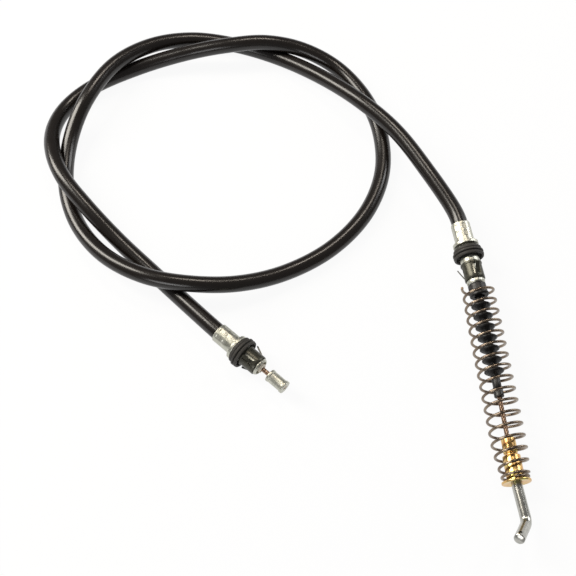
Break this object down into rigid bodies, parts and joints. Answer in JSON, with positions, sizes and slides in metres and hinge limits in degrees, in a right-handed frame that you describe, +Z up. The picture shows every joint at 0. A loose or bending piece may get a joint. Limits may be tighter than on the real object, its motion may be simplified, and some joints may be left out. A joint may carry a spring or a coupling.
{
  "type": "parking brake cable",
  "caption": "Jacketed conduit with a snap-in fitting at each end, an inner wire with a crimped button and a hook rod, a return spring and a rubber boot.",
  "frame": {"origin": "under the middle of the cable's box, on the surface that the cable lies on", "axes": "+Z up, +Y away from the two end fittings, +X towards the hook end's side"},
  "size_m": [0.3173, 0.382, 0.0243],
  "materials": {
    "jacket_plastic": "glossy black extruded jacket",
    "spiral_steel": "flat-wire spiral",
    "liner_plastic": "natural plastic",
    "wire_steel": "stranded wire, slightly browned",
    "zinc_steel": "zinc plated, crimped",
    "seal_rubber": "moulded rubber",
    "dark_steel": "dark phosphate",
    "cap_rubber": "moulded rubber",
    "spring_steel": "browned spring steel",
    "yellow_zinc": "yellow zinc plated",
    "rod_steel": "bright steel"
  },
  "bodies": {
    "conduit": {"conduit_jacket": "jacket_plastic", "conduit_armour": "spiral_steel", "conduit_liner": "liner_plastic", "inner_wire": "wire_steel", "front_ferrule": "zinc_steel", "front_seal": "seal_rubber", "front_retainer": "dark_steel", "front_liner_tip": "liner_plastic", "rear_ferrule": "zinc_steel", "rear_seal": "seal_rubber", "rear_retainer": "dark_steel", "rear_cap": "cap_rubber", "return_spring": "spring_steel", "wire_boot": "cap_rubber"},
    "hook_end": {"hook_rod": "rod_steel", "spring_seat": "yellow_zinc", "rear_wire": "wire_steel"},
    "button_end": {"wire_button": "rod_steel", "front_wire": "wire_steel"}
  },
  "joints": [
    {"name": "hook_slide", "type": "slide", "parent": "conduit", "child": "hook_end", "axis": [-0.1028, 0.9945, 0.0192], "range_m": [0, 0.02], "stiffness_N_per_m": 1400, "deforming": ["return_spring", "wire_boot"]},
    {"name": "button_slide", "type": "slide", "parent": "conduit", "child": "button_end", "axis": [0.7478, -0.6639, 0], "range_m": [0, 0.02]}
  ],
  "couplings": [
    {"joint": "button_slide", "follows": "hook_slide", "ratio": 1}
  ]
}
